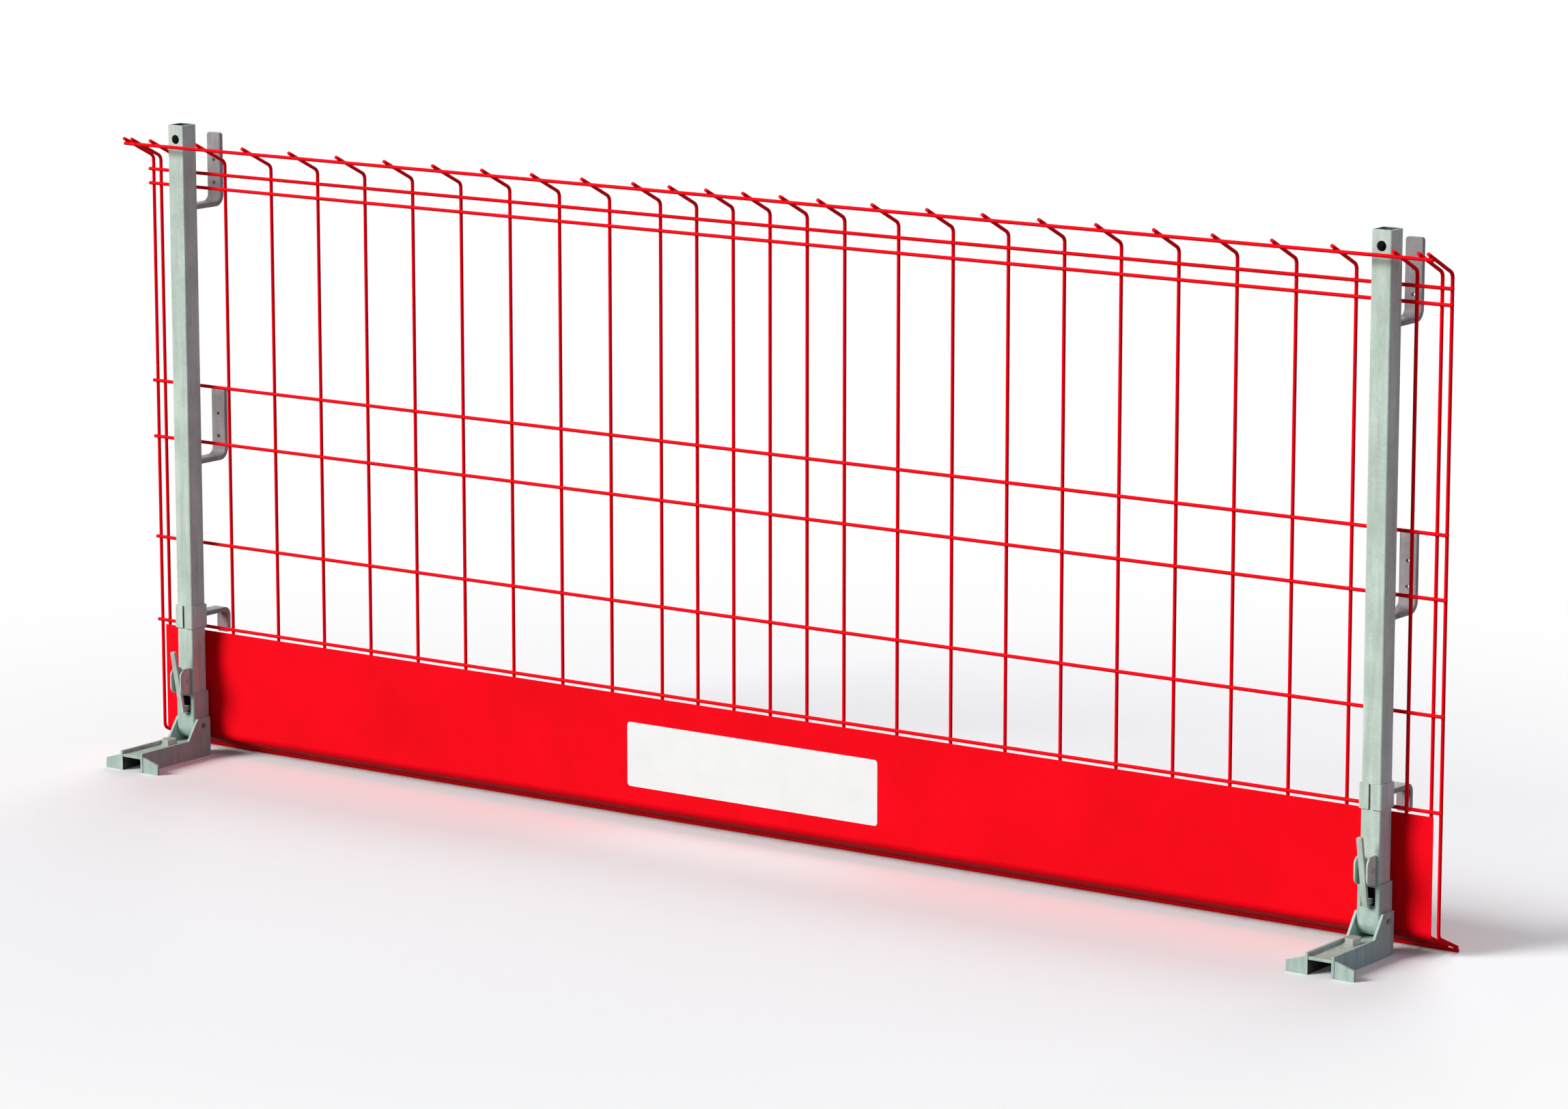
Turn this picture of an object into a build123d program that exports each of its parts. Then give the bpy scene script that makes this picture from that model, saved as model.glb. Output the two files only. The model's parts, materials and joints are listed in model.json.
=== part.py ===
from build123d import *
import math
import os

# Edge protection barrier: two posts in bolted feet carry a welded mesh panel with a toe board.
# Millimetres. +X runs along the barrier, +Y from the drop towards the slab, +Z up from the floor.
# All is drawn from the middle plane of the upright wires, then moved so that the origin lies on the
# floor under the middle of the whole.

# Wires of the mesh panel
wire_d = 6.0
weld_sink = 0.8                 # how far two crossing wires sink into each other at a weld
mid_pitch = 74.0                # upright wires at the middle of the panel
mid_gap_count = 5
field_pitch = 105.0             # upright wires over most of the panel
field_gap_count = 10
end_pitch_inner = 43.0          # the two narrow gaps at each end
end_pitch_outer = 17.0
rail_overhang = 5.0             # rail wires past the last upright
kick_rail_z = 230.0             # heights of the rail wires
low_rail_z = 380.0
knee_rail_z = 560.0
mid_rail_z = 660.0
hand_rail_z = 1035.0
rail_pair_gap = 25.0            # second rail under the hand rail
wire_bend_r = 12.0              # centre line of the bent ends
top_bend_rise = 23.0            # bend over the hand rail
top_leg_angle = 26.0            # rise of the top ends, which lean out over the drop
top_wire_gap = 16.2             # edge wire in front of the posts
top_wire_inset = 7.5            # edge wire, back from the tips
low_leg_angle = 24.0            # fall of the bottom ends, which run in over the slab
low_leg_reach = 59.5
low_wire_inset = 4.5

# Toe board
toe_sheet = 1.5
toe_sink = 0.2                  # sheet pressed into the wires by its spot welds
toe_top_gap = 5.0               # under the kick rail
toe_end_lap = 6.0               # past the second upright from each end
toe_flange_gap = 3.0            # flange stops short of the bottom edge wire
plate_length = 510.0
plate_height = 110.0
plate_thickness = 0.6
plate_top_gap = 46.0            # under the top of the toe board

# Posts
post_width = 35.0
post_wall = 3.0
post_corner_r = 3.0
post_length = 1060.0
post_inset = 35.0               # in from the last wire of the regular pitch
post_gap = 5.6                  # from the back of the post to the rail wires
post_hole_d = 16.0
post_hole_drop = 25.0

# Sleeves around the posts: the socket of the foot and the locking collar
sleeve_clearance = 0.5
sleeve_wall = 2.5
sleeve_inner_r = 1.5

# Foot
plate_t = 5.0
foot_front_reach = 146.5        # in front of the post
foot_back_inset = 1.0           # cheeks stop short of the back of the post
bar_height = 34.5
cheek_over_pin = 8.5
cheek_top_reach = 16.0          # cheek top, ahead of the middle of the post
cheek_slope_run = 25.0
web_t = 5.0
web_recess = 6.0                # web under the tops of the side plates
web_front_inset = 1.0
gusset_t = 5.0
gusset_setback = 1.0
gusset_reach = 34.5
gusset_step = 6.5               # under the top of the side plates
gusset_fall = 10.5

# Anchor bolt
bolt_d = 16.0
bolt_hole_clearance = 2.0
bolt_head_af = 24.0
bolt_head_h = 10.0
bolt_head_chamfer = 1.6
bolt_reach = 64.0               # ahead of the middle of the post
bolt_floor_gap = 0.5
washer_d = 30.0
washer_t = 2.5

# Socket and the pin that the post stands on
socket_floor_gap = 2.0
socket_toe_r = 25.0
slot_over_cheek = 8.5
slot_depth = 37.5
seat_pin_d = 12.0
seat_pin_bore = 8.0
seat_pin_rise = 25.0            # over the bottom of the socket
seat_pin_recess = 2.0
seat_gap = 0.05

# Ear bracket, lever and spring
ear_t = 3.0
ear_reach = 27.0
ear_rise = 0.5                  # over the top of the socket
ear_height = 45.0
ear_corner_r = 13.0
ear_bend_r = 1.0                # inside of the bends from the back plate to the ears
tongue_depth = 5.0              # back plate of the bracket, down into the slot of the socket
pivot_d = 6.0
pivot_clearance = 0.05
pivot_rise = 23.2               # over the bottom of the ears
pivot_head_d = 8.0
pivot_head_h = 2.0
pivot_head_r = 0.6
lever_lean = 10.8
lever_width = 10.0
lever_t = 6.0
lever_up = 57.0
lever_tip_r = 2.0
lever_end_rise = 4.5            # over the bottom of the slot
lever_lug_width = 6.0
lever_lug_r = 6.3
nose_height = 8.0
nose_rise = 9.0                 # over the bottom of the slot
nose_bite = 5.0                 # behind the front face of the post
keyhole_side_gap = 5.0          # hole in the post, beside the nose
keyhole_low_gap = 2.5           # and under it
spring_wire_d = 1.5
spring_mean_r = 6.0
spring_pitch = 2.0
spring_turns = 2
spring_side_gap = 0.25
spring_back_gap = 0.95          # to the plate of the ear bracket
spring_leg = 14.0

# Hooks on the back of the post
hook_width = 30.0
hook_t = 8.0
hook_throat = 64.0
hook_height = 128.0
hook_bend_r = 16.0              # centre line
hook_floor_gap = 27.0           # under the rail that it guards
hook_tip_r = 5.0
hook_hole_d = 6.0
hook_hole_low = 40.0
hook_hole_step = 40.0

# Locking collar and its hook
collar_height = 40.0
collar_slit = 4.5
catch_width = 25.0
catch_t = 8.0
catch_throat = 51.5             # from the middle of the upright wires to the leg
catch_gap = 15.0                # over the kick rail
catch_drop = 46.5
catch_bend_r = 11.0             # centre line
catch_tip_r = 4.0

# How far cutting shapes reach past what they cut
overcut = 5.0

# Places worked out from the sizes
wire_r = wire_d / 2
weld_step = wire_d - weld_sink
rail_y = -weld_step
rail_front_y = rail_y - wire_r
mid_half = mid_pitch * mid_gap_count / 2
field_end = mid_half + field_pitch * field_gap_count
second_wire_x = field_end + end_pitch_inner
end_wire_x = second_wire_x + end_pitch_outer
panel_length = 2 * (end_wire_x + rail_overhang)
second_rail_z = hand_rail_z - rail_pair_gap
top_bend_z = hand_rail_z + top_bend_rise
top_slope = math.tan(math.radians(top_leg_angle))
low_slope = math.tan(math.radians(low_leg_angle))
low_wire_y = low_leg_reach - low_wire_inset
low_bend_z = wire_r + weld_step / math.cos(math.radians(low_leg_angle)) + low_slope * low_wire_y

post_x = field_end - post_inset
post_back_y = rail_front_y - post_gap
post_y = post_back_y - post_width / 2
post_front_y = post_y - post_width / 2
top_wire_y = post_front_y - top_wire_gap - wire_r
top_leg_reach = top_wire_inset - top_wire_y
top_wire_z = top_bend_z - top_slope * top_wire_y - weld_step / math.cos(math.radians(top_leg_angle))
toe_top_z = kick_rail_z - wire_r - toe_top_gap
sleeve_inner = post_width + 2 * sleeve_clearance
sleeve_outer = sleeve_inner + 2 * sleeve_wall
sleeve_outer_r = sleeve_inner_r + sleeve_wall
sleeve_front_y = post_y - sleeve_outer / 2
sleeve_back_y = post_y + sleeve_outer / 2

foot_front_y = post_front_y - foot_front_reach
foot_back_y = post_back_y - foot_back_inset
web_z = bar_height - web_recess - web_t
web_top_z = web_z + web_t
bolt_y = post_y - bolt_reach
socket_z = web_top_z + socket_floor_gap
seat_pin_z = socket_z + seat_pin_rise
cheek_z = seat_pin_z + seat_pin_d / 2 + cheek_over_pin
slot_z = cheek_z + slot_over_cheek
socket_top_z = slot_z + slot_depth
post_bottom_z = seat_pin_z + seat_pin_d / 2 + seat_gap
post_top_z = post_bottom_z + post_length
gusset_y = foot_front_y + gusset_setback

spring_outer_r = spring_mean_r + spring_wire_d / 2
spring_room = spring_pitch * (spring_turns + 0.25) + spring_wire_d + 2 * spring_side_gap
ear_inner = lever_lug_width + 2 * spring_room
ear_width = ear_inner + 2 * ear_t
ear_bottom_z = socket_top_z + ear_rise
ear_back_y = post_y - sleeve_inner / 2
tongue_z = socket_top_z - tongue_depth
pivot_y = ear_back_y - ear_t - spring_back_gap - spring_outer_r
pivot_z = ear_bottom_z + pivot_rise
lean = math.radians(lever_lean)
lever_back_offset = spring_outer_r + spring_side_gap
lever_front_offset = lever_back_offset + lever_t
nose_z = slot_z + nose_rise
lever_down = (pivot_z - slot_z - lever_end_rise) / math.cos(lean)
catch_z = kick_rail_z + wire_r + catch_gap + catch_t / 2


def upright_positions():
    """X of every upright wire, from left to right."""
    half = [mid_pitch * (step + 0.5) for step in range((mid_gap_count + 1) // 2)]
    half += [mid_half + field_pitch * (step + 1) for step in range(field_gap_count)]
    half += [second_wire_x, end_wire_x]
    return [-x for x in reversed(half)] + half


def along_x(sketch, width):
    """A shape drawn as (y, z) on the side plane, pulled evenly to both sides of x = 0."""
    return extrude(Plane.YZ * sketch, width / 2, both=True)


def side_box(y_low, y_high, z_low, z_high, width):
    """A block of the given width across x = 0."""
    block = Box(width, y_high - y_low, z_high - z_low)
    return Pos(0, (y_low + y_high) / 2, (z_low + z_high) / 2) * block


def bent_strip(points, bend_radius, width, thickness):
    """A flat bar bent in the side plane, along its centre line of (y, z) points."""
    path = FilletPolyline([(0, y, z) for y, z in points], radius=bend_radius)
    start = Plane(origin=path @ 0, x_dir=(1, 0, 0), z_dir=path % 0)
    return sweep(start * Rectangle(width, thickness), path=path)


def round_bar(points, bend_radius, diameter):
    """A round wire bent in the side plane, along its centre line of (y, z) points."""
    path = FilletPolyline([(0, y, z) for y, z in points], radius=bend_radius)
    start = Plane(origin=path @ 0, x_dir=(1, 0, 0), z_dir=path % 0)
    return sweep(start * Circle(diameter / 2), path=path)


def cross_pin(y, z, diameter, length):
    """A round bar along X, centred on x = 0."""
    return Pos(0, y, z) * Rot(0, 90, 0) * Cylinder(diameter / 2, length)


def long_wire(y, z):
    """A straight wire over the whole length of the panel."""
    return cross_pin(y, z, wire_d, panel_length)


# Mesh panel

def upright_wires():
    tip_top = (-top_leg_reach, top_bend_z + top_slope * top_leg_reach)
    tip_low = (low_leg_reach, low_bend_z - low_slope * low_leg_reach)
    wire = round_bar([tip_low, (0, low_bend_z), (0, top_bend_z), tip_top], wire_bend_r, wire_d)
    return Compound(children=[Pos(x, 0, 0) * wire for x in upright_positions()])


def rail_wires():
    heights = [kick_rail_z, low_rail_z, knee_rail_z, mid_rail_z, second_rail_z, hand_rail_z]
    return Compound(children=[long_wire(rail_y, z) for z in heights])


def toe_board():
    offset = wire_r - toe_sink + toe_sheet / 2
    drop = offset / math.cos(math.radians(low_leg_angle))
    flange_y = low_wire_y - wire_r - toe_flange_gap
    top = (-offset, toe_top_z)
    corner = (-offset, low_bend_z + low_slope * offset - drop)
    end = (flange_y, low_bend_z - low_slope * flange_y - drop)
    length = 2 * (second_wire_x + toe_end_lap)
    return bent_strip([top, corner, end], wire_bend_r + offset, length, toe_sheet)


def blank_plate():
    front_y = -(wire_r - toe_sink + toe_sheet)
    top_z = toe_top_z - plate_top_gap
    return side_box(front_y - plate_thickness, front_y, top_z - plate_height, top_z, plate_length)


# Post and what is welded to it

def post():
    outer = RectangleRounded(post_width, post_width, post_corner_r)
    inner_width = post_width - 2 * post_wall
    tube = extrude(outer - Rectangle(inner_width, inner_width), post_length)
    tube = Pos(0, post_y, post_bottom_z) * tube
    hole_z = post_top_z - post_hole_drop
    tube -= Pos(0, post_y, hole_z) * Rot(90, 0, 0) * Cylinder(post_hole_d / 2, 2 * post_width)
    keyhole_z = nose_z - nose_height / 2 - keyhole_low_gap
    keyhole_width = lever_width + 2 * keyhole_side_gap
    return tube - side_box(post_front_y - overcut, post_y, keyhole_z, tongue_z, keyhole_width)


def hook(rail_z):
    """Flat bar from the back of the post, under the rail and up behind it."""
    floor_z = rail_z - wire_r - hook_floor_gap
    leg_y = post_back_y + hook_throat + hook_t / 2
    bar_z = floor_z - hook_t / 2
    tip_z = floor_z - hook_t + hook_height
    bar = bent_strip([(post_back_y, bar_z), (leg_y, bar_z), (leg_y, tip_z)], hook_bend_r, hook_width, hook_t)
    tip_edges = bar.edges().filter_by(Axis.Y).group_by(Axis.Z)[-1]
    bar = fillet(tip_edges, hook_tip_r)
    for step in range(2):
        hole_z = floor_z - hook_t + hook_hole_low + hook_hole_step * step
        bar -= Pos(0, leg_y, hole_z) * Rot(90, 0, 0) * Cylinder(hook_hole_d / 2, 2 * hook_t)
    return bar


def ear_bracket():
    """Strip bent to two ears and a back plate, clear of the post, with its tongue in the socket's slot."""
    ear_front_y = ear_back_y - ear_reach
    plate_front_y = ear_back_y - ear_t
    ear_top_z = ear_bottom_z + ear_height
    block = side_box(ear_front_y, ear_back_y, ear_bottom_z, ear_top_z, ear_width)
    front_edges = block.edges().filter_by(Axis.X).group_by(Axis.Y)[0]
    block = fillet(front_edges, ear_corner_r)
    block = fillet(block.edges().filter_by(Axis.Z).group_by(Axis.Y)[-1], ear_bend_r + ear_t)
    low_z = ear_bottom_z - overcut
    room = side_box(ear_front_y - overcut, plate_front_y, low_z, ear_top_z + overcut, ear_inner)
    block -= fillet(room.edges().filter_by(Axis.Z).group_by(Axis.Y)[-1], ear_bend_r)
    block += side_box(plate_front_y, ear_back_y, tongue_z, ear_bottom_z, ear_width)
    return block - cross_pin(pivot_y, pivot_z, pivot_d, 2 * ear_width)


def pivot_pin():
    pin = cross_pin(pivot_y, pivot_z, pivot_d, ear_width)
    head = cross_pin(pivot_y, pivot_z, pivot_head_d, pivot_head_h)
    head = fillet(head.edges(), pivot_head_r)
    shift = (ear_width + pivot_head_h) / 2
    return pin + Pos(shift, 0, 0) * head + Pos(-shift, 0, 0) * head


# Locking lever: its own frame has the pivot at the origin, Z up the bar and Y towards the post

def lever_place():
    return Pos(0, pivot_y, pivot_z) * Rot(lever_lean, 0, 0)


def bar_back_y(z):
    """Back face of the lever's bar at height z."""
    return pivot_y - lever_back_offset / math.cos(lean) - (z - pivot_z) * math.tan(lean)


def lever():
    bar = side_box(-lever_front_offset, -lever_back_offset, -lever_down, lever_up, lever_width)
    end_edges = bar.edges().filter_by(Axis.Y).group_by(Axis.Z)
    bar = fillet(list(end_edges[0]) + list(end_edges[-1]), lever_tip_r)
    lug = side_box(-lever_back_offset - lever_t / 2, 0, -lever_lug_r, lever_lug_r, lever_lug_width)
    lug += cross_pin(0, 0, 2 * lever_lug_r, lever_lug_width)
    body = lever_place() * (bar + lug)
    nose_low = nose_z - nose_height / 2
    nose_top = nose_z + nose_height / 2
    root_y = bar_back_y(nose_top) - lever_t / 2
    body += side_box(root_y, post_front_y + nose_bite, nose_low, nose_top, lever_width)
    return body - cross_pin(pivot_y, pivot_z, pivot_d + 2 * pivot_clearance, 2 * lever_width)


def biarc(start, start_dir, end, end_dir):
    """Two arcs that join two points and run along the given directions there."""
    chord = end - start
    both = start_dir + end_dir
    spread = 2 * (1 - start_dir.dot(end_dir))
    lean_in = chord.dot(both)
    reach = (math.sqrt(lean_in**2 + spread * chord.dot(chord)) - lean_in) / spread
    middle = (start + start_dir * reach + end - end_dir * reach) / 2
    first = TangentArc(start, middle, tangent=start_dir)
    return [first, TangentArc(middle, end, tangent=first % 1)]


def lever_spring():
    """Torsion spring round the pivot: a short leg to the bracket, the turns, a leg up the bar's back."""
    quarters = 4 * spring_turns + 1
    first_x = lever_lug_width / 2 + spring_side_gap + spring_wire_d / 2
    points = []
    directions = []
    for quarter in range(quarters + 1):
        angle = -math.pi / 2 - quarter * math.pi / 2
        x = first_x + spring_pitch * quarter / 4
        points.append(Vector(x, spring_mean_r * math.cos(angle), spring_mean_r * math.sin(angle)))
        climb = 0 if quarter in (0, quarters) else spring_pitch / (2 * math.pi)
        turn = Vector(climb, spring_mean_r * math.sin(angle), -spring_mean_r * math.cos(angle))
        directions.append(turn.normalized())
    short_leg = spring_mean_r
    edges = [Line(points[0] - directions[0] * short_leg, points[0])]
    for index in range(quarters):
        edges += biarc(points[index], directions[index], points[index + 1], directions[index + 1])
    edges.append(Line(points[-1], points[-1] + directions[-1] * spring_leg))
    gap = min(
        (points[index + 4] - points[index]).length for index in range(quarters - 3)
    ) - spring_wire_d
    print(f"lever spring: least gap between turns {gap:.2f} mm")
    path = Wire(edges)
    start = Plane(origin=path @ 0, z_dir=path % 0)
    return lever_place() * sweep(start * Circle(spring_wire_d / 2), path=path)


# Foot

def side_plate(side):
    """Upright plate beside the socket: side is -1 on the left and 1 on the right of the foot."""
    slope_top_y = post_y - cheek_top_reach
    slope_low_y = slope_top_y - cheek_slope_run
    outline = Polyline(
        (foot_front_y, 0),
        (foot_back_y, 0),
        (foot_back_y, cheek_z),
        (slope_top_y, cheek_z),
        (slope_low_y, bar_height),
        (foot_front_y, bar_height),
        close=True,
    )
    plate = along_x(make_face(outline), plate_t)
    plate -= cross_pin(post_y, seat_pin_z, seat_pin_d, 2 * plate_t)
    return Pos(side * (sleeve_outer + plate_t) / 2, 0, 0) * plate


def web():
    plate = side_box(foot_front_y + web_front_inset, foot_back_y, web_z, web_top_z, sleeve_outer)
    hole_r = (bolt_d + bolt_hole_clearance) / 2
    return plate - Pos(0, bolt_y, web_z) * Cylinder(hole_r, 4 * web_t)


def gusset(side):
    """Trapezoid plate that spreads the front of the foot to one side."""
    inner_x = sleeve_outer / 2 + plate_t
    outer_x = inner_x + gusset_reach
    inner_z = bar_height - gusset_step
    outline = Polyline(
        (side * inner_x, 0),
        (side * outer_x, 0),
        (side * outer_x, inner_z - gusset_fall),
        (side * inner_x, inner_z),
        close=True,
    )
    plate = extrude(Plane.XZ * make_face(outline), gusset_t / 2, both=True)
    return Pos(0, gusset_y + gusset_t / 2, 0) * plate


def anchor_washer():
    ring = Circle(washer_d / 2) - Circle((bolt_d + bolt_hole_clearance) / 2)
    return Pos(0, bolt_y, web_top_z) * extrude(ring, washer_t)


def anchor_bolt():
    seat_z = web_top_z + washer_t
    corner_r = bolt_head_af / math.sqrt(3)
    blank = extrude(Circle(corner_r), bolt_head_h)
    blank = chamfer(blank.edges().group_by(Axis.Z)[-1], bolt_head_chamfer)
    head = blank & extrude(RegularPolygon(bolt_head_af / 2, 6, major_radius=False), bolt_head_h)
    shank = extrude(Circle(bolt_d / 2), -(seat_z - bolt_floor_gap))
    return Pos(0, bolt_y, seat_z) * (head + shank)


# Sleeves

def sleeve_block(width, corner_r, z_low, z_high):
    return Pos(0, post_y, z_low) * extrude(RectangleRounded(width, width, corner_r), z_high - z_low)


def side_outline(inset, z_low):
    """Side view of the socket, drawn in by inset, with its rounded front bottom corner."""
    bend_y = sleeve_front_y + socket_toe_r
    bend_z = socket_z + socket_toe_r
    top_z = socket_top_z + overcut
    front_y = sleeve_front_y + inset
    back_y = sleeve_back_y + overcut
    corner = Pos(bend_y, bend_z) * Circle(socket_toe_r - inset)
    front = Pos((front_y + bend_y) / 2, (bend_z + top_z) / 2) * Rectangle(bend_y - front_y, top_z - bend_z)
    back = Pos((bend_y + back_y) / 2, (z_low + top_z) / 2) * Rectangle(back_y - bend_y, top_z - z_low)
    return corner + front + back


def socket():
    low_z = socket_z - overcut
    high_z = socket_top_z + overcut
    body = sleeve_block(sleeve_outer, sleeve_outer_r, socket_z, socket_top_z)
    body = body & along_x(side_outline(0, socket_z), 2 * sleeve_outer)
    cavity = sleeve_block(sleeve_inner, sleeve_inner_r, low_z, high_z)
    body -= cavity & along_x(side_outline(sleeve_wall, low_z), 2 * sleeve_outer)
    body -= side_box(sleeve_front_y - overcut, post_y, slot_z, high_z, ear_width)
    return body - cross_pin(post_y, seat_pin_z, seat_pin_d, 2 * sleeve_outer)


def seat_pin():
    """Hollow pin through the cheeks and the socket."""
    length = sleeve_outer + 2 * (plate_t - seat_pin_recess)
    pin = cross_pin(post_y, seat_pin_z, seat_pin_d, length)
    return pin - cross_pin(post_y, seat_pin_z, seat_pin_bore, 2 * length)


def collar():
    z_low = catch_z - collar_height / 2
    z_high = catch_z + collar_height / 2
    ring = sleeve_block(sleeve_outer, sleeve_outer_r, z_low, z_high)
    ring -= sleeve_block(sleeve_inner, sleeve_inner_r, z_low, z_high)
    return ring - side_box(sleeve_front_y - overcut, post_y, z_low, z_high, collar_slit)


def collar_hook():
    """Flat bar from the back of the collar, over the kick rail and down behind it."""
    leg_y = catch_throat + catch_t / 2
    tip_z = catch_z + catch_t / 2 - catch_drop
    line = [(sleeve_back_y, catch_z), (leg_y, catch_z), (leg_y, tip_z)]
    bar = bent_strip(line, catch_bend_r, catch_width, catch_t)
    tip_edges = bar.edges().filter_by(Axis.Y).group_by(Axis.Z)[0]
    return fillet(tip_edges, catch_tip_r)


# All nodes, left and right side first

nodes = {}
for side_name, sign in (("left", -1), ("right", 1)):
    pieces = {
        "foot_outer_plate": side_plate(sign),
        "foot_inner_plate": side_plate(-sign),
        "foot_web": web(),
        "foot_outer_gusset": gusset(sign),
        "foot_inner_gusset": gusset(-sign),
        "anchor_washer": anchor_washer(),
        "anchor_bolt": anchor_bolt(),
        "socket": socket(),
        "seat_pin": seat_pin(),
        "post": post(),
        "top_hook": hook(second_rail_z),
        "middle_hook": hook(knee_rail_z),
        "ear_bracket": ear_bracket(),
        "pivot_pin": pivot_pin(),
        "lever": lever(),
        "lever_spring": lever_spring(),
        "collar": collar(),
        "collar_hook": collar_hook(),
    }
    for piece_name, shape in pieces.items():
        nodes[f"{side_name}_{piece_name}"] = Pos(sign * post_x, 0, 0) * shape

nodes["upright_wires"] = upright_wires()
nodes["rail_wires"] = rail_wires()
nodes["top_edge_wire"] = long_wire(top_wire_y, top_wire_z)
nodes["bottom_edge_wire"] = long_wire(low_wire_y, wire_r)
nodes["toe_board"] = toe_board()
nodes["blank_plate"] = blank_plate()

boxes = [shape.bounding_box() for shape in nodes.values()]
middle_y = (min(box.min.Y for box in boxes) + max(box.max.Y for box in boxes)) / 2
print(f"drawing moved by {-middle_y:.3f} mm in Y; lowest point z = {min(box.min.Z for box in boxes):.3f}")

os.makedirs("parts", exist_ok=True)
for name, shape in nodes.items():
    export_step(Pos(0, -middle_y, 0) * shape, f"parts/{name}.step")
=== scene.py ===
import bpy
import json
import math
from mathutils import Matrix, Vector


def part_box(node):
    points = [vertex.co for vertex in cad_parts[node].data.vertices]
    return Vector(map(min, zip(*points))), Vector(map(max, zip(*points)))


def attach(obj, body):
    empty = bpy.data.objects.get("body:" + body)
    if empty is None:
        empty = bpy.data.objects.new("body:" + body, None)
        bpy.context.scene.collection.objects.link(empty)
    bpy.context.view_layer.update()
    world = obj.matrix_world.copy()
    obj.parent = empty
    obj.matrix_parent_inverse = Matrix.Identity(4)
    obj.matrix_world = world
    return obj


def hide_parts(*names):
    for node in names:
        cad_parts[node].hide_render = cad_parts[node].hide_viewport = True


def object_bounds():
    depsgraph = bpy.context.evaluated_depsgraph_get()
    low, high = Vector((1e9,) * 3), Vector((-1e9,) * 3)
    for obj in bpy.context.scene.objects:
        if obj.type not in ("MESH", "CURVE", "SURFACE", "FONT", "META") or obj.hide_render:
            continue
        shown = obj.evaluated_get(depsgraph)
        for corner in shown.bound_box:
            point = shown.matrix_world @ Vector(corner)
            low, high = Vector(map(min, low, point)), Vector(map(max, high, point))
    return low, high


# Edge protection barrier: finishes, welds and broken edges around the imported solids.
# Metres, in the solids' own frame: +X along the barrier, +Y towards the slab, +Z up from the floor.

mm = 0.001

# Places of the mesh wires, as on the solids
wire_d = 6.0 * mm
weld_step = 5.2 * mm             # between the axes of two welded wires
mid_pitch = 74.0 * mm
mid_gap_count = 5
field_pitch = 105.0 * mm
field_gap_count = 10
end_pitch_inner = 43.0 * mm
end_pitch_outer = 17.0 * mm
rail_heights = [z * mm for z in (230.0, 380.0, 560.0, 660.0, 1010.0, 1035.0)]
top_leg_angle = math.radians(26.0)
low_leg_angle = math.radians(24.0)

# Edges and corners
cut_edge_r = 0.7 * mm            # sawn and sheared edges after dipping in zinc
fine_edge_r = 0.35 * mm          # small turned and pressed parts
edge_steps = 2                   # facets across a broken edge
flat_face_weight = 100           # how far large faces decide the shading
film_corner_r = 6.0 * mm
film_corner_steps = 6
merge_distance = 0.002 * mm
flat_angle = math.radians(0.4)
inside_depth = 1.0 * mm          # inward faces deeper than this lie inside a tube
mostly = 0.8                     # share of a normal that counts as facing one way
ear_rise = 1.0 * mm              # over the socket: under this the ear bracket keeps its sheared edges
sharp_angle = math.radians(38.0)

# Welds
bead_sides = 10
bead_ripple = 2.6 * mm           # one ripple of the weld pool
bead_swell = 1.14                # crest of a ripple against its root
bead_end_share = 0.45            # end of a bead against its root
bead_turns = {"X": (0, math.pi / 2, 0), "Y": (-math.pi / 2, 0, 0), "Z": (0, 0, 0)}
hook_bar_t = 8.0 * mm
hook_bead_length = 27.0 * mm     # along the width of a hook
hook_bead_r = 4.0 * mm
catch_bead_length = 22.0 * mm    # along the width of a collar's hook
catch_bead_r = 2.8 * mm
cheek_bead_length = 28.0 * mm    # along the top of a cheek
cheek_bead_setback = 1.0 * mm    # behind the middle of the post
gusset_bead_length = 16.0 * mm   # up the root of a gusset
gusset_bead_r = 3.2 * mm
gusset_bead_z = 12.0 * mm
web_bead_length = 30.0 * mm      # along the sides of the web
web_bead_places = [22.0 * mm, 58.0 * mm]
plate_bead_r = 2.6 * mm          # at the cheeks and the web
nugget_r = 4.0 * mm
nugget_t = 2.0 * mm
nugget_sides = 8
nugget_rim_share = 0.45          # soft rim against the thickness
tack_r = 1.5 * mm
tack_setback = 0.6 * mm          # so that no tack comes through the sheet
tack_length = 13.0 * mm
tack_sides = 6
tack_top_drop = 32.0 * mm        # under the top of the toe board
tack_low_rise = 62.0 * mm        # over its bottom edge
tack_side_share = 0.36           # beside the wire's axis, against its diameter
toe_sink = 0.2 * mm              # sheet pressed into the wires

# Floor, lamps and camera; angles in degrees
floor_size = 120.0
floor_colour = "FAFAFA"
floor_bounce = "646464"          # what the floor throws back up on the barrier
fade_start = 1.0                 # floor runs out into white from here
fade_end = 2.8
ambient_level = 0.08
lamp_distance = 12.0
key_lamp = {"azimuth": -35.5, "elevation": 28.0, "spread": 26.0, "strength": 3.75}
back_lamp = {"azimuth": 200.0, "elevation": 28.0, "spread": 36.0, "strength": 1.5}
fill_lamp = {"azimuth": 85.0, "elevation": 10.0, "spread": 70.0, "strength": 0.95, "colour": "C4D2F9"}
camera_place = (5.44999, -7.44118, 2.23404)
camera_target = (0.083, 0.042, 0.501)
camera_lens = 132.0              # in millimetres, as is the sensor
camera_sensor = 36.0
camera_far_clip = 200.0

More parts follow.
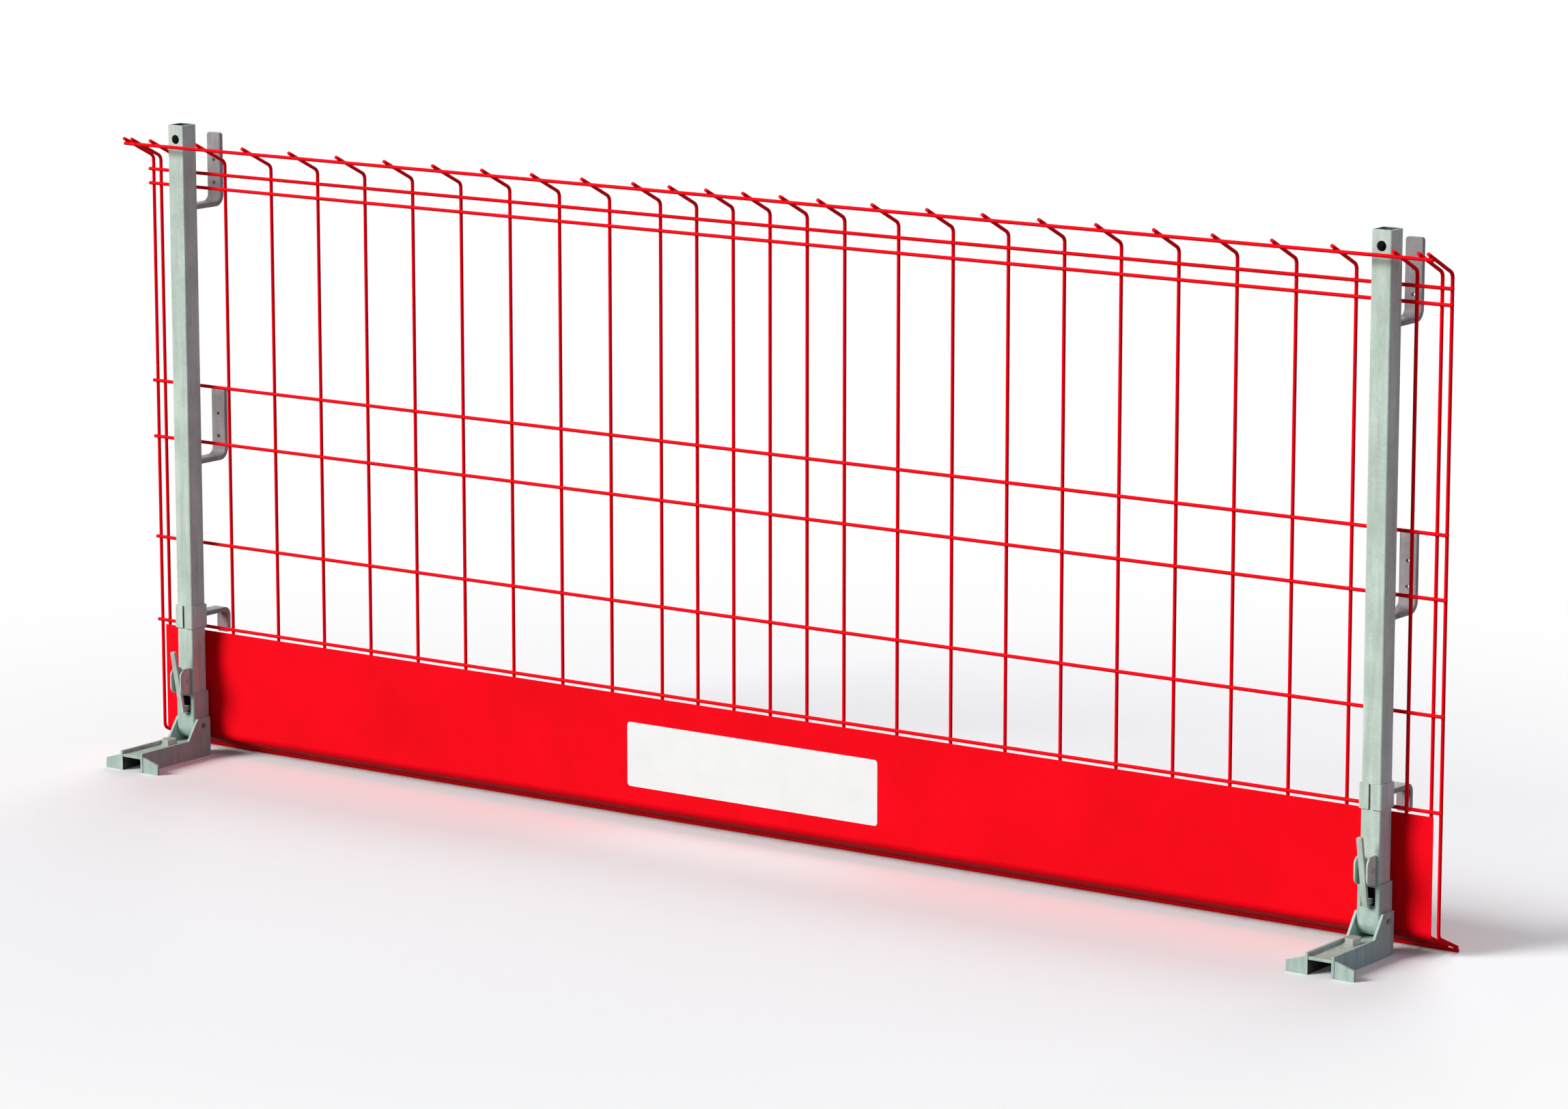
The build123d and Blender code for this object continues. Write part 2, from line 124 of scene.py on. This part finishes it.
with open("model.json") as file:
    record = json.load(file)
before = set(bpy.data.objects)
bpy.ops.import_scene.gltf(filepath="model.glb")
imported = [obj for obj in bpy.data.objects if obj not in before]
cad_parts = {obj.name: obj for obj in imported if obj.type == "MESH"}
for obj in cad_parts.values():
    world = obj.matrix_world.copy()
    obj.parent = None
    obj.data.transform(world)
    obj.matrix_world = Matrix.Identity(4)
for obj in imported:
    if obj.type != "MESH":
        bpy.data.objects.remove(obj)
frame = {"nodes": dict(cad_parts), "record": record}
cad_low, cad_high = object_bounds()
nodes = frame["nodes"]
body_of_node = {}
slot_of_node = {}
for body_name, members in frame["record"]["behaviour"]["bodies"].items():
    for member in members:
        body_of_node[member] = body_name
for part in frame["record"]["subparts"]:
    slot_of_node[part["node"]] = part["material_slot"]


# Small helpers for modelling

def deselect():
    if bpy.context.object and bpy.context.object.mode != "OBJECT":
        bpy.ops.object.mode_set(mode="OBJECT")
    bpy.ops.object.select_all(action="DESELECT")


def make_active(piece):
    deselect()
    piece.select_set(True)
    bpy.context.view_layer.objects.active = piece


def apply_place(piece):
    """Puts the object's place and turn into its mesh."""
    make_active(piece)
    bpy.ops.object.transform_apply(location=True, rotation=True, scale=True)


def copy_at(master, place):
    """A copy of a modelled piece with a mesh of its own, moved to a place."""
    make_active(master)
    bpy.ops.object.duplicate(linked=False)
    piece = bpy.context.object
    piece.location = place
    apply_place(piece)
    return piece


def join_as(name, pieces):
    deselect()
    for piece in pieces:
        piece.select_set(True)
    bpy.context.view_layer.objects.active = pieces[0]
    bpy.ops.object.join()
    joined = bpy.context.object
    joined.name = name
    joined.data.name = name
    return joined


def remove(*masters):
    for master in masters:
        bpy.data.objects.remove(master)


def finish_piece(piece, body, material):
    """Gives a new piece its body and finish."""
    piece.data.materials.clear()
    piece.data.materials.append(material)
    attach(piece, body)


# Small helpers for materials

# Places of a colour mix's share, colours and result among its sockets
mix_share = 0
mix_first = 6
mix_second = 7
mix_result = 2


def linear(code):
    """sRGB hex to linear colour."""
    shares = [int(code[start:start + 2], 16) / 255 for start in (0, 2, 4)]
    channels = []
    for share in shares:
        channels.append(share / 12.92 if share <= 0.04045 else ((share + 0.055) / 1.055) ** 2.4)
    return (*channels, 1.0)


def add_node(tree, kind, inputs=None, **settings):
    """Adds one node: settings are its own choices, inputs are values or (node, output) links."""
    node = tree.nodes.new(kind)
    for name, value in settings.items():
        setattr(node, name, value)
    for socket, value in (inputs or {}).items():
        if isinstance(value, tuple) and isinstance(value[0], bpy.types.Node):
            tree.links.new(value[0].outputs[value[1]], node.inputs[socket])
        else:
            node.inputs[socket].default_value = value
    return node


def new_material(name):
    """A material with an empty tree, its output and its surface shader."""
    material = bpy.data.materials.new(name)
    material.use_nodes = True
    tree = material.node_tree
    tree.nodes.clear()
    shader = add_node(tree, "ShaderNodeBsdfPrincipled")
    add_node(tree, "ShaderNodeOutputMaterial", {"Surface": (shader, "BSDF")})
    return material, tree, shader


def link_finish(tree, shader, colour, gloss, bump=None):
    """Leads the colour, roughness and relief of a finish to its surface shader."""
    tree.links.new(colour.outputs[mix_result], shader.inputs["Base Color"])
    tree.links.new(gloss.outputs["Result"], shader.inputs["Roughness"])
    if bump is not None:
        tree.links.new(bump.outputs["Normal"], shader.inputs["Normal"])


# Finishes

def hot_dip_galvanised_steel(name, light, dark, crystal, grain_depth):
    """Steel dipped in molten zinc: matt pale grey, finely speckled, with faint crystals and dull clouds."""
    cloud_size = 70 * mm
    run_width = 9 * mm
    run_stretch = 0.08
    grain_size = 2.2 * mm
    crystal_contrast = 0.10
    grain_contrast = 0.22
    material, tree, shader = new_material(name)
    place = add_node(tree, "ShaderNodeTexCoord")
    crystals = add_node(
        tree, "ShaderNodeTexVoronoi", {"Vector": (place, "Object"), "Scale": 1 / crystal}, feature="F1"
    )
    shade = add_node(tree, "ShaderNodeSeparateColor", {"Color": (crystals, "Color")})
    clouds = add_node(
        tree, "ShaderNodeTexNoise", {"Vector": (place, "Object"), "Scale": 1 / cloud_size, "Detail": 4.0}
    )
    stretched = add_node(
        tree, "ShaderNodeMapping", {"Vector": (place, "Object"), "Scale": (1.0, 1.0, run_stretch)}
    )
    runs = add_node(
        tree, "ShaderNodeTexNoise", {"Vector": (stretched, "Vector"), "Scale": 1 / run_width, "Detail": 2.0}
    )
    grain = add_node(
        tree, "ShaderNodeTexNoise", {"Vector": (place, "Object"), "Scale": 1 / grain_size, "Detail": 3.0}
    )
    cloud_share = add_node(
        tree, "ShaderNodeMath", {0: (clouds, "Fac"), 1: (runs, "Fac")}, operation="MULTIPLY"
    )
    crystal_share = add_node(
        tree, "ShaderNodeMapRange", {"Value": (shade, "Red"), "To Min": -crystal_contrast,
                                     "To Max": crystal_contrast}
    )
    grain_share = add_node(
        tree, "ShaderNodeMapRange", {"Value": (grain, "Fac"), "From Min": 0.3, "From Max": 0.7,
                                     "To Min": -grain_contrast, "To Max": grain_contrast}
    )
    spread = add_node(
        tree, "ShaderNodeMapRange", {"Value": (cloud_share, "Value"), "From Min": 0.12, "From Max": 0.4}
    )
    mottled = add_node(
        tree, "ShaderNodeMath", {0: (spread, "Result"), 1: (crystal_share, "Result")}, operation="ADD"
    )
    speckled = add_node(
        tree, "ShaderNodeMath", {0: (mottled, "Value"), 1: (grain_share, "Result")}, operation="ADD",
        use_clamp=True
    )
    colour = add_node(
        tree, "ShaderNodeMix", {mix_share: (speckled, "Value"), mix_first: linear(dark),
                                mix_second: linear(light)}, data_type="RGBA"
    )
    gloss = add_node(
        tree, "ShaderNodeMapRange", {"Value": (shade, "Green"), "To Min": 0.60, "To Max": 0.74}
    )
    bump = add_node(
        tree, "ShaderNodeBump", {"Height": (grain, "Fac"), "Strength": 0.35, "Distance": grain_depth}
    )
    shader.inputs["Metallic"].default_value = 0.08
    shader.inputs["Specular IOR Level"].default_value = 0.3
    link_finish(tree, shader, colour, gloss, bump)
    return material


def bright_zinc_plated_steel():
    """Turned and pressed steel with a thin bright zinc plating: cool, smoother, faintly cloudy."""
    material, tree, shader = new_material("bright_zinc_plated_steel")
    place = add_node(tree, "ShaderNodeTexCoord")
    clouds = add_node(
        tree, "ShaderNodeTexNoise", {"Vector": (place, "Object"), "Scale": 1 / (9 * mm), "Detail": 5.0}
    )
    colour = add_node(
        tree, "ShaderNodeMix", {mix_share: (clouds, "Fac"), mix_first: linear("989E99"),
                                mix_second: linear("B2B8B0")}, data_type="RGBA"
    )
    gloss = add_node(
        tree, "ShaderNodeMapRange", {"Value": (clouds, "Fac"), "To Min": 0.48, "To Max": 0.62}
    )
    shader.inputs["Metallic"].default_value = 0.35
    link_finish(tree, shader, colour, gloss)
    return material


def drawn_spring_steel():
    """Hard drawn wire: dark, satin, with fine draw marks."""
    material, tree, shader = new_material("drawn_spring_steel")
    place = add_node(tree, "ShaderNodeTexCoord")
    marks = add_node(
        tree, "ShaderNodeTexNoise", {"Vector": (place, "Object"), "Scale": 1 / (0.8 * mm), "Detail": 3.0}
    )
    colour = add_node(
        tree, "ShaderNodeMix", {mix_share: (marks, "Fac"), mix_first: linear("45474A"),
                                mix_second: linear("75787C")}, data_type="RGBA"
    )
    gloss = add_node(
        tree, "ShaderNodeMapRange", {"Value": (marks, "Fac"), "To Min": 0.3, "To Max": 0.5}
    )
    shader.inputs["Metallic"].default_value = 1.0
    link_finish(tree, shader, colour, gloss)
    return material


def red_powder_coat():
    """Baked polyester powder on steel: full signal red, matt, with fine orange peel and faint clouds."""
    material, tree, shader = new_material("red_powder_coat")
    place = add_node(tree, "ShaderNodeTexCoord")
    clouds = add_node(
        tree, "ShaderNodeTexNoise", {"Vector": (place, "Object"), "Scale": 1 / (120 * mm), "Detail": 3.0}
    )
    peel = add_node(
        tree, "ShaderNodeTexNoise", {"Vector": (place, "Object"), "Scale": 1 / (2.5 * mm), "Detail": 1.0}
    )
    share = add_node(
        tree, "ShaderNodeMapRange", {"Value": (clouds, "Fac"), "From Min": 0.35, "From Max": 0.65}
    )
    colour = add_node(
        tree, "ShaderNodeMix", {mix_share: (share, "Result"), mix_first: linear("F00012"),
                                mix_second: linear("FB0018")}, data_type="RGBA"
    )
    gloss = add_node(
        tree, "ShaderNodeMapRange", {"Value": (clouds, "Fac"), "To Min": 0.56, "To Max": 0.70}
    )
    bump = add_node(
        tree, "ShaderNodeBump", {"Height": (peel, "Fac"), "Strength": 0.12, "Distance": 0.15 * mm}
    )
    shader.inputs["Specular IOR Level"].default_value = 0.06
    link_finish(tree, shader, colour, gloss, bump)
    return material


def white_vinyl_film():
    """Blank self-adhesive vinyl: bright white, satin, slightly uneven where it lies on the sheet."""
    material, tree, shader = new_material("white_vinyl_film")
    place = add_node(tree, "ShaderNodeTexCoord")
    waves = add_node(
        tree, "ShaderNodeTexNoise", {"Vector": (place, "Object"), "Scale": 1 / (45 * mm), "Detail": 2.0}
    )
    colour = add_node(
        tree, "ShaderNodeMix", {mix_share: (waves, "Fac"), mix_first: linear("EDEDEA"),
                                mix_second: linear("F7F7F5")}, data_type="RGBA"
    )
    gloss = add_node(
        tree, "ShaderNodeMapRange", {"Value": (waves, "Fac"), "To Min": 0.32, "To Max": 0.5}
    )
    bump = add_node(
        tree, "ShaderNodeBump", {"Height": (waves, "Fac"), "Strength": 0.2, "Distance": 0.4 * mm}
    )
    link_finish(tree, shader, colour, gloss, bump)
    return material


galvanised = hot_dip_galvanised_steel("hot_dip_galvanised_steel", "C7D6CA", "ADBBB0", 7 * mm, 0.25 * mm)
galvanised_weld = hot_dip_galvanised_steel("galvanised_weld", "B4BFB5", "8F9A92", 3 * mm, 0.4 * mm)
# Painted shade: a dark zinc for the inner walls of tubes, slits and holes and for the hollow under each
# foot's web, where shade falls.
painted_shade_zinc = hot_dip_galvanised_steel("painted_shade_in_hollows", "565A58", "383B3A", 9 * mm, 0.4 * mm)
# Painted shade: a darker, greyer zinc on the hooks, standing in for the shade they lie in.
painted_shade_hook_zinc = hot_dip_galvanised_steel("dull_zinc_on_hooks", "A19E9F", "868384", 6 * mm, 0.3 * mm)
# A slightly darker, greener zinc on the welded feet and sockets.
galvanised_feet = hot_dip_galvanised_steel("darker_zinc_on_feet", "B5C9BE", "9CB0A6", 7 * mm, 0.3 * mm)
red_coat = red_powder_coat()
finish_of_slot = {
    "galvanised_steel": galvanised,
    "zinc_plated_steel": bright_zinc_plated_steel(),
    "spring_steel": drawn_spring_steel(),
    "red_coated_steel": red_coat,
    "white_film": white_vinyl_film(),
}
for node_name, node in nodes.items():
    for material_slot in node.material_slots:
        material_slot.material = finish_of_slot[slot_of_node[node_name]]


# Steel pieces with broken edges

def merged_copy(node_name):
    """A copy of a solid's mesh as one skin."""
    piece = bpy.data.objects.new(f"{node_name}_finished", nodes[node_name].data.copy())
    bpy.context.scene.collection.objects.link(piece)
    make_active(piece)
    bpy.ops.mesh.customdata_custom_splitnormals_clear()
    bpy.ops.object.mode_set(mode="EDIT")
    bpy.ops.mesh.select_all(action="SELECT")
    bpy.ops.mesh.remove_doubles(threshold=merge_distance)
    bpy.ops.object.mode_set(mode="OBJECT")
    return piece


def break_edges(piece, radius, lowest):
    """Rounds the sharp edges of a piece that reach higher than the lowest level."""
    make_active(piece)
    bpy.ops.object.mode_set(mode="EDIT")
    bpy.ops.mesh.select_mode(type="EDGE")
    bpy.ops.mesh.select_all(action="DESELECT")
    bpy.ops.mesh.edges_select_sharp(sharpness=sharp_angle)
    bpy.ops.object.mode_set(mode="OBJECT")
    for edge in piece.data.edges:
        if max(piece.data.vertices[index].co.z for index in edge.vertices) < lowest:
            edge.select = False
    bpy.ops.object.mode_set(mode="EDIT")
    bpy.ops.mesh.bevel(offset=radius, segments=edge_steps, affect="EDGES", clamp_overlap=False,
                       loop_slide=False)
    bpy.ops.object.mode_set(mode="OBJECT")
    bpy.ops.object.shade_smooth_by_angle(angle=sharp_angle)
    flats = piece.modifiers.new("flat_faces_stay_flat", "WEIGHTED_NORMAL")
    flats.keep_sharp = True
    flats.weight = flat_face_weight
    bpy.ops.object.modifier_apply(modifier=flats.name)


def stand_for(piece, node_name):
    """Puts a finished piece in its node's place; the hooks get a darker, greyer zinc as painted shade, and
    the welded feet a slightly darker zinc.
    """
    slot = slot_of_node[node_name]
    finish = finish_of_slot[slot]
    # Painted shade on the hooks; the feet and sockets only get a slightly darker zinc.
    if node_name.endswith("_hook"):
        finish = painted_shade_hook_zinc
    elif "_foot_" in node_name or node_name.endswith("_socket"):
        finish = galvanised_feet
    finish_piece(piece, body_of_node[node_name], finish)
    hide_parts(node_name)


def split_level(piece, height):
    """Cuts a piece's skin along one level, without opening it."""
    make_active(piece)
    bpy.ops.object.mode_set(mode="EDIT")
    bpy.ops.mesh.select_all(action="SELECT")
    bpy.ops.mesh.bisect(plane_co=(0, 0, height), plane_no=(0, 0, 1))
    bpy.ops.object.mode_set(mode="OBJECT")


def paint_shade_under_web(piece, middle_x, height):
    """Paints shade into the hollow under the foot's web with the dark zinc."""
    piece.data.materials.append(painted_shade_zinc)
    for face in piece.data.polygons:
        inward = math.copysign(1.0, middle_x - face.center.x) * face.normal.x
        if face.center.z < height and (inward > mostly or face.normal.z < -mostly):
            face.material_index = 1


def paint_shade_inside(piece, node_name):
    """Paints shade on the inner walls of an upright tube, and of its slits and holes, with the dark zinc.
    """
    low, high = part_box(node_name)
    middle = (low + high) / 2
    reach_x = (high.x - low.x) / 2 - inside_depth
    reach_y = (high.y - low.y) / 2 - inside_depth
    piece.data.materials.append(painted_shade_zinc)
    for face in piece.data.polygons:
        offset = face.center - middle
        faces_inwards = offset.x * face.normal.x + offset.y * face.normal.y < 0
        if faces_inwards and abs(offset.x) < reach_x and abs(offset.y) < reach_y:
            face.material_index = 1


cut_steel = ["foot_outer_plate", "foot_inner_plate", "foot_web", "foot_outer_gusset", "foot_inner_gusset",
             "socket", "post", "top_hook", "middle_hook", "ear_bracket", "lever", "collar", "collar_hook"]
turned_steel = ["anchor_washer", "anchor_bolt", "seat_pin"]
tubes = ["socket", "post", "collar"]
hollow_foot = ["foot_outer_plate", "foot_inner_plate", "foot_web"]
for side in ("left", "right"):
    web_low, web_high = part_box(f"{side}_foot_web")
    socket_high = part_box(f"{side}_socket")[1]
    for kind in cut_steel + turned_steel:
        steel = merged_copy(f"{side}_{kind}")
        if kind in hollow_foot:
            split_level(steel, web_low.z)
        lowest = socket_high.z + ear_rise if kind == "ear_bracket" else cad_low.z
        break_edges(steel, cut_edge_r if kind in cut_steel else fine_edge_r, lowest)
        stand_for(steel, f"{side}_{kind}")
        # Painted shade: the dark zinc goes on the inner walls of the tubes and into the hollow under each
        # web.
        if kind in tubes:
            paint_shade_inside(steel, f"{side}_{kind}")
        if kind in hollow_foot:
            paint_shade_under_web(steel, (web_low.x + web_high.x) / 2, web_low.z + merge_distance)


# Weld beads

def weld_bead(length, radius, axis, sides=bead_sides):
    """A rippled bead along one axis, centred on the origin, with rounded ends."""
    count = max(2, round(length / bead_ripple))
    step = length / count
    deselect()
    start = Vector((0, 0, -length / 2))
    end_r = radius * bead_end_share
    bpy.ops.mesh.primitive_circle_add(vertices=sides, radius=end_r, fill_type="NGON", location=start)
    bead = bpy.context.object
    apply_place(bead)
    bpy.ops.object.mode_set(mode="EDIT")
    bpy.ops.mesh.select_all(action="SELECT")
    width = bead_end_share
    for index in range(2 * count):
        last = index == 2 * count - 1
        next_width = bead_swell if index % 2 == 0 else 1.0
        if last:
            next_width = bead_end_share
        height = -length / 2 + (index + 1) * step / 2
        bpy.ops.mesh.extrude_region_move(TRANSFORM_OT_translate={"value": (0, 0, step / 2)})
        share = next_width / width
        bpy.ops.transform.resize(value=(share, share, 1), center_override=(0, 0, height))
        width = next_width
    bpy.ops.mesh.select_all(action="SELECT")
    bpy.ops.mesh.normals_make_consistent(inside=False)
    bpy.ops.object.mode_set(mode="OBJECT")
    bpy.ops.object.shade_smooth()
    bead.rotation_euler = bead_turns[axis]
    apply_place(bead)
    return bead


def bead_row(name, master, places, body):
    """Copies of one bead at the given places, as one piece on a body."""
    beads = join_as(name, [copy_at(master, place) for place in places])
    finish_piece(beads, body, galvanised_weld)


hook_bead = weld_bead(hook_bead_length, hook_bead_r, "X")
cheek_bead = weld_bead(cheek_bead_length, plate_bead_r, "Y")
gusset_bead = weld_bead(gusset_bead_length, gusset_bead_r, "Z")
web_bead = weld_bead(web_bead_length, plate_bead_r, "Y")
catch_bead = weld_bead(catch_bead_length, catch_bead_r, "X")
for side in ("left", "right"):
    post_low, post_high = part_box(f"{side}_post")
    socket_low, socket_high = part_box(f"{side}_socket")
    post_x = (post_low.x + post_high.x) / 2

    places = []
    for hook in ("top_hook", "middle_hook"):
        hook_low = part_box(f"{side}_{hook}")[0]
        places.append((post_x, post_high.y, hook_low.z))
        places.append((post_x, post_high.y, hook_low.z + hook_bar_t))
    bead_row(f"{side}_hook_welds", hook_bead, places, "posts_and_feet")

    places = []
    for plate in ("foot_outer_plate", "foot_inner_plate"):
        plate_low, plate_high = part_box(f"{side}_{plate}")
        face_x = socket_low.x if plate_low.x < post_x else socket_high.x
        places.append((face_x, (post_low.y + post_high.y) / 2 + cheek_bead_setback, plate_high.z))
    bead_row(f"{side}_cheek_welds", cheek_bead, places, "posts_and_feet")

    places = []
    for gusset in ("foot_outer_gusset", "foot_inner_gusset"):
        gusset_low, gusset_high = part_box(f"{side}_{gusset}")
        root_x = gusset_high.x if gusset_low.x < post_x else gusset_low.x
        places.append((root_x, gusset_high.y, gusset_bead_z))
    bead_row(f"{side}_gusset_welds", gusset_bead, places, "posts_and_feet")

    web_low, web_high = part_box(f"{side}_foot_web")
    places = []
    for x in (web_low.x, web_high.x):
        places += [(x, web_low.y + along, web_high.z) for along in web_bead_places]
    bead_row(f"{side}_web_welds", web_bead, places, "posts_and_feet")

    collar_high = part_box(f"{side}_collar")[1]
    catch_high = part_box(f"{side}_collar_hook")[1]
    places = [(post_x, collar_high.y, catch_high.z)]
    bead_row(f"{side}_catch_weld", catch_bead, places, f"{side}_locking_collar")
remove(hook_bead, cheek_bead, gusset_bead, web_bead, catch_bead)


# Welds of the mesh panel

def upright_positions():
    """X of every upright wire, from left to right."""
    mid_half = mid_pitch * mid_gap_count / 2
    field_end = mid_half + field_pitch * field_gap_count
    half = [mid_pitch * (step + 0.5) for step in range((mid_gap_count + 1) // 2)]
    half += [mid_half + field_pitch * (step + 1) for step in range(field_gap_count)]
    half += [field_end + end_pitch_inner, field_end + end_pitch_inner + end_pitch_outer]
    return [-x for x in reversed(half)] + half


def weld_nugget(lean):
    """Steel squeezed out round one wire crossing: a thin round cushion with a soft rim."""
    deselect()
    bpy.ops.mesh.primitive_cylinder_add(vertices=nugget_sides, radius=nugget_r, depth=nugget_t)
    nugget = bpy.context.object
    bpy.ops.object.mode_set(mode="EDIT")
    bpy.ops.mesh.select_mode(type="EDGE")
    bpy.ops.mesh.select_all(action="SELECT")
    bpy.ops.mesh.bevel(offset=nugget_t * nugget_rim_share, segments=1, affect="EDGES")
    bpy.ops.object.mode_set(mode="OBJECT")
    bpy.ops.object.shade_smooth_by_angle(angle=sharp_angle)
    nugget.rotation_euler = (lean, 0, 0)
    apply_place(nugget)
    return nugget


def nugget_row(name, master, y, z):
    """One nugget on every upright wire, along a rail."""
    copies = [copy_at(master, (x, y, z)) for x in upright_positions()]
    finish_piece(join_as(name, copies), "panel", red_coat)


rail_low, rail_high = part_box("rail_wires")
rail_y = (rail_low.y + rail_high.y) / 2
upright_y = rail_y + weld_step
upright_nugget = weld_nugget(math.pi / 2)
for number, rail_z in enumerate(rail_heights):
    nugget_row(f"rail_{number + 1}_welds", upright_nugget, rail_y + weld_step / 2, rail_z)
for edge, lean in (("top", top_leg_angle), ("bottom", low_leg_angle)):
    edge_low, edge_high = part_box(f"{edge}_edge_wire")
    middle = (edge_low + edge_high) / 2
    edge_nugget = weld_nugget(-lean)
    nugget_row(f"{edge}_edge_welds", edge_nugget, middle.y + math.sin(lean) * weld_step / 2,
               middle.z + math.cos(lean) * weld_step / 2)
    remove(edge_nugget)
remove(upright_nugget)

board_low, board_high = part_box("toe_board")
board_back_y = upright_y - wire_d / 2 + toe_sink
tack = weld_bead(tack_length, tack_r, "Z", sides=tack_sides)
tacks = []
for x in upright_positions()[1:-1]:
    for z in (board_high.z - tack_top_drop, board_low.z + tack_low_rise):
        for sign in (-1, 1):
            beside = x + sign * wire_d * tack_side_share
            tacks.append(copy_at(tack, (beside, board_back_y + tack_setback, z)))
finish_piece(join_as("toe_board_tacks", tacks), "panel", red_coat)
remove(tack)

film = merged_copy("blank_plate")
make_active(film)
bpy.ops.object.mode_set(mode="EDIT")
bpy.ops.mesh.select_mode(type="EDGE")
bpy.ops.mesh.select_all(action="SELECT")
bpy.ops.mesh.dissolve_limited(angle_limit=flat_angle)
bpy.ops.mesh.select_all(action="DESELECT")
bpy.ops.object.mode_set(mode="OBJECT")
for edge in film.data.edges:
    first, second = (film.data.vertices[index].co for index in edge.vertices)
    edge.select = abs(first.x - second.x) < merge_distance and abs(first.z - second.z) < merge_distance
bpy.ops.object.mode_set(mode="EDIT")
bpy.ops.mesh.bevel(offset=film_corner_r, segments=film_corner_steps, affect="EDGES")
bpy.ops.object.mode_set(mode="OBJECT")
bpy.ops.object.shade_smooth_by_angle(angle=sharp_angle)
stand_for(film, "blank_plate")


# Floor, light and camera

def seen_share(tree, path):
    """One for rays that show a thing to the eye, straight or in a reflection; none for other light."""
    seen = add_node(tree, "ShaderNodeMath", {0: (path, "Is Camera Ray"), 1: (path, "Is Glossy Ray")})
    return add_node(
        tree, "ShaderNodeMath", {0: (seen, "Value"), 1: (path, "Is Transmission Ray")}, use_clamp=True
    )


def pale_floor():
    """Plain pale floor that keeps the shadow near the object and runs out into white."""
    deselect()
    bpy.ops.mesh.primitive_plane_add(size=floor_size)
    floor = bpy.context.object
    floor.name = "floor"
    material, tree, shader = new_material("pale_floor")
    path = add_node(tree, "ShaderNodeLightPath")
    colour = add_node(
        tree, "ShaderNodeMix", {mix_share: (path, "Is Diffuse Ray"), mix_first: linear(floor_colour),
                                mix_second: linear(floor_bounce)}, data_type="RGBA"
    )
    tree.links.new(colour.outputs[mix_result], shader.inputs["Base Color"])
    shader.inputs["Roughness"].default_value = 0.9
    place = add_node(tree, "ShaderNodeTexCoord")
    far = add_node(tree, "ShaderNodeVectorMath", {0: (place, "Object")}, operation="LENGTH")
    fade = add_node(
        tree, "ShaderNodeMapRange", {"Value": (far, "Value"), "From Min": fade_start, "From Max": fade_end},
        interpolation_type="SMOOTHSTEP"
    )
    seen = seen_share(tree, path)
    share = add_node(
        tree, "ShaderNodeMath", {0: (fade, "Result"), 1: (seen, "Value")}, operation="MULTIPLY"
    )
    white = add_node(tree, "ShaderNodeEmission", {"Color": (1, 1, 1, 1), "Strength": 1.0})
    mix = add_node(
        tree, "ShaderNodeMixShader", {0: (share, "Value"), 1: (shader, "BSDF"), 2: (white, "Emission")}
    )
    output = next(node for node in tree.nodes if node.type == "OUTPUT_MATERIAL")
    tree.links.new(mix.outputs["Shader"], output.inputs["Surface"])
    floor.data.materials.append(material)


def white_surround(ambient):
    """White all round to the eye and in reflections; a softer even light on the object."""
    world = bpy.data.worlds.new("white_surround")
    bpy.context.scene.world = world
    world.use_nodes = True
    tree = world.node_tree
    tree.nodes.clear()
    seen = seen_share(tree, add_node(tree, "ShaderNodeLightPath"))
    soft = add_node(tree, "ShaderNodeBackground", {"Color": (1, 1, 1, 1), "Strength": ambient})
    white = add_node(tree, "ShaderNodeBackground", {"Color": (1, 1, 1, 1), "Strength": 1.0})
    mix = add_node(
        tree, "ShaderNodeMixShader", {0: (seen, "Value"), 1: (soft, "Background"), 2: (white, "Background")}
    )
    add_node(tree, "ShaderNodeOutputWorld", {"Surface": (mix, "Shader")})


def far_lamp(name, azimuth, elevation, spread, strength, colour="FFFFFF"):
    """A broad lamp far away: azimuth 0 stands in front of the barrier, and grows to its right."""
    lamp = bpy.data.lights.new(name, "SUN")
    lamp.angle = math.radians(spread)
    lamp.energy = strength
    lamp.color = linear(colour)[:3]
    holder = bpy.data.objects.new(name, lamp)
    bpy.context.scene.collection.objects.link(holder)
    turn = math.radians(azimuth)
    rise = math.radians(elevation)
    towards = Vector((math.sin(turn) * math.cos(rise), -math.cos(turn) * math.cos(rise), math.sin(rise)))
    holder.location = towards * lamp_distance
    holder.rotation_euler = towards.to_track_quat("Z", "Y").to_euler()


pale_floor()
white_surround(ambient_level)
far_lamp("key", **key_lamp)
far_lamp("back", **back_lamp)
far_lamp("fill", **fill_lamp)

camera = bpy.data.objects.new("camera", bpy.data.cameras.new("camera"))
bpy.context.scene.collection.objects.link(camera)
camera.location = camera_place
camera.rotation_euler = (Vector(camera_target) - Vector(camera_place)).to_track_quat("-Z", "Y").to_euler()
camera.data.lens = camera_lens
camera.data.sensor_width = camera_sensor
camera.data.clip_end = camera_far_clip
bpy.context.scene.camera = camera
bpy.context.scene.view_settings.view_transform = "Standard"
